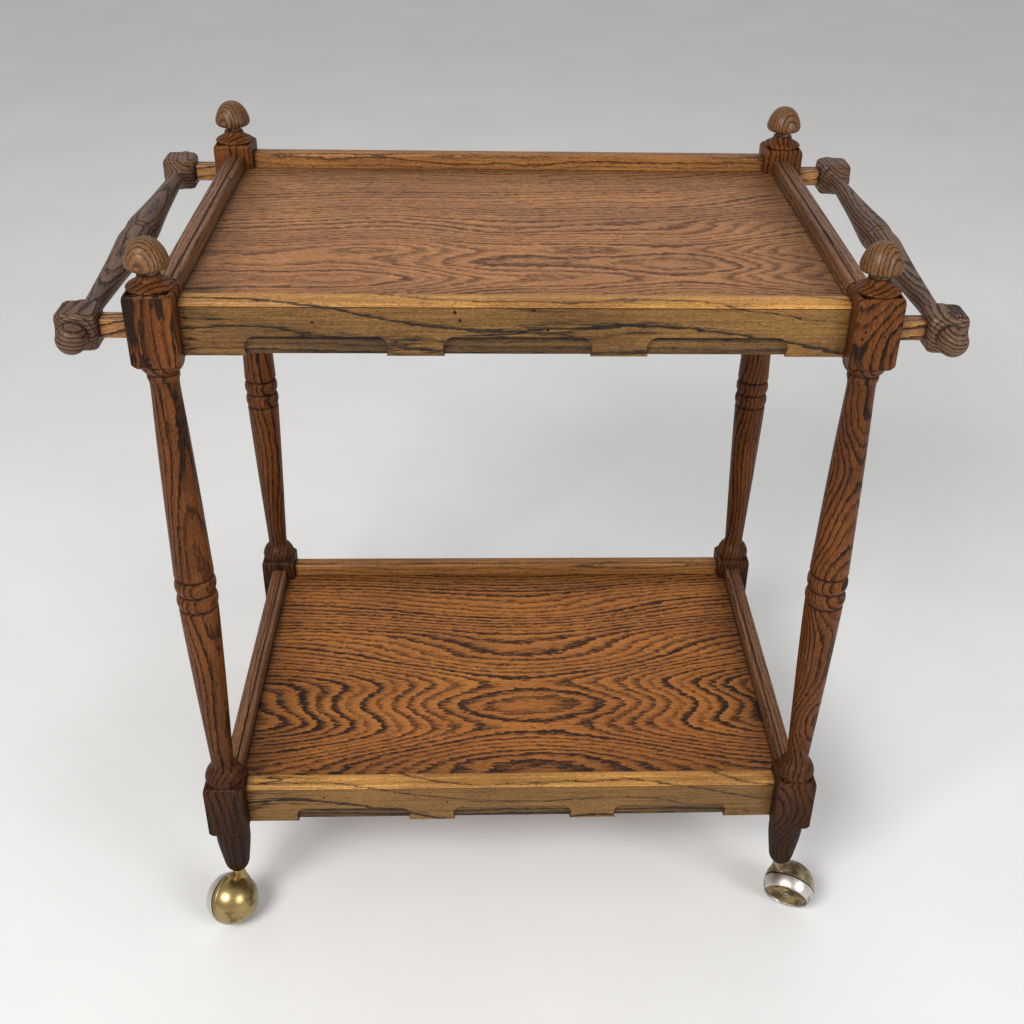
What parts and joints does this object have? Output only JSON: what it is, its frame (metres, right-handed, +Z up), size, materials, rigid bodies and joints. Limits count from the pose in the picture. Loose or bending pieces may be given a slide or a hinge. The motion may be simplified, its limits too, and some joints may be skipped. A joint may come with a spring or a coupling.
{
  "type": "bar cart",
  "caption": "Two-tier wooden bar cart with turned corner posts, railed top and shelf, turned push handles at both ends and hooded ball casters.",
  "frame": {"origin": "on the floor, under the centre of the cart", "axes": "+Z up, +X along the cart's length towards its right-hand handle, -Y towards the front, the side with the scooped aprons"},
  "size_m": [0.7236, 0.4654, 0.756],
  "materials": {
    "post_oak": "stained and lacquered oak, dark red-brown with near-black grain",
    "finial_oak": "stained and lacquered oak end grain, golden brown",
    "stretcher_oak": "stained and lacquered oak, golden orange-brown",
    "handle_oak": "stained and lacquered oak, dark grey-brown",
    "apron_oak": "stained and lacquered oak, golden olive-brown with dark streaks",
    "rail_oak": "stained and lacquered oak, mid brown",
    "top_panel_oak": "stained and lacquered oak, reddish brown, grain lengthways",
    "shelf_panel_oak": "stained and lacquered oak, orange-brown with bold cathedral grain",
    "brass": "worn polished brass",
    "nickel": "tarnished plated metal",
    "steel": "plain steel"
  },
  "bodies": {
    "frame": {"post_front_left": "post_oak", "finial_front_left": "finial_oak", "stretcher_front_left": "stretcher_oak", "post_front_right": "post_oak", "finial_front_right": "finial_oak", "stretcher_front_right": "stretcher_oak", "post_back_left": "post_oak", "finial_back_left": "finial_oak", "stretcher_back_left": "stretcher_oak", "post_back_right": "post_oak", "finial_back_right": "finial_oak", "stretcher_back_right": "stretcher_oak", "top_front_apron": "apron_oak", "top_back_rail": "rail_oak", "top_left_rail": "rail_oak", "top_right_rail": "rail_oak", "top_panel": "top_panel_oak", "shelf_front_apron": "apron_oak", "shelf_back_rail": "rail_oak", "shelf_left_rail": "rail_oak", "shelf_right_rail": "rail_oak", "shelf_panel": "shelf_panel_oak", "handle_left": "handle_oak", "handle_right": "handle_oak", "caster_socket_front_left": "brass", "caster_socket_front_right": "brass", "caster_socket_back_left": "brass", "caster_socket_back_right": "brass"},
    "swivel_front_left": {"caster_stem_front_left": "steel", "caster_hood_front_left": "brass", "caster_axle_front_left": "steel"},
    "wheel_front_left": {"caster_tread_front_left": "nickel", "caster_disc_front_left": "brass"},
    "swivel_front_right": {"caster_stem_front_right": "steel", "caster_hood_front_right": "brass", "caster_axle_front_right": "steel"},
    "wheel_front_right": {"caster_tread_front_right": "nickel", "caster_disc_front_right": "brass"},
    "swivel_back_left": {"caster_stem_back_left": "steel", "caster_hood_back_left": "brass", "caster_axle_back_left": "steel"},
    "wheel_back_left": {"caster_tread_back_left": "nickel", "caster_disc_back_left": "brass"},
    "swivel_back_right": {"caster_stem_back_right": "steel", "caster_hood_back_right": "brass", "caster_axle_back_right": "steel"},
    "wheel_back_right": {"caster_tread_back_right": "nickel", "caster_disc_back_right": "brass"}
  },
  "joints": [
    {"name": "swivel_front_left", "type": "hinge", "parent": "frame", "child": "swivel_front_left", "pos_m": [-0.287, -0.194, 0.0625], "axis": [0, 0, 1], "continuous": true},
    {"name": "roll_front_left", "type": "hinge", "parent": "swivel_front_left", "child": "wheel_front_left", "pos_m": [-0.29532, -0.20588, 0.027], "axis": [-0.7745, 0.5423, -0.3256], "continuous": true},
    {"name": "swivel_front_right", "type": "hinge", "parent": "frame", "child": "swivel_front_right", "pos_m": [0.287, -0.194, 0.0625], "axis": [0, 0, 1], "continuous": true},
    {"name": "roll_front_right", "type": "hinge", "parent": "swivel_front_right", "child": "wheel_front_right", "pos_m": [0.30014, -0.20013, 0.027], "axis": [-0.3996, -0.8569, -0.3256], "continuous": true},
    {"name": "swivel_back_left", "type": "hinge", "parent": "frame", "child": "swivel_back_left", "pos_m": [-0.287, 0.194, 0.0625], "axis": [0, 0, 1], "continuous": true},
    {"name": "roll_back_left", "type": "hinge", "parent": "swivel_back_left", "child": "wheel_back_left", "pos_m": [-0.30014, 0.20013, 0.027], "axis": [0.3996, 0.8569, -0.3256], "continuous": true},
    {"name": "swivel_back_right", "type": "hinge", "parent": "frame", "child": "swivel_back_right", "pos_m": [0.287, 0.194, 0.0625], "axis": [0, 0, 1], "continuous": true},
    {"name": "roll_back_right", "type": "hinge", "parent": "swivel_back_right", "child": "wheel_back_right", "pos_m": [0.29956, 0.20125, 0.027], "axis": [0.4728, -0.8188, -0.3256], "continuous": true}
  ]
}
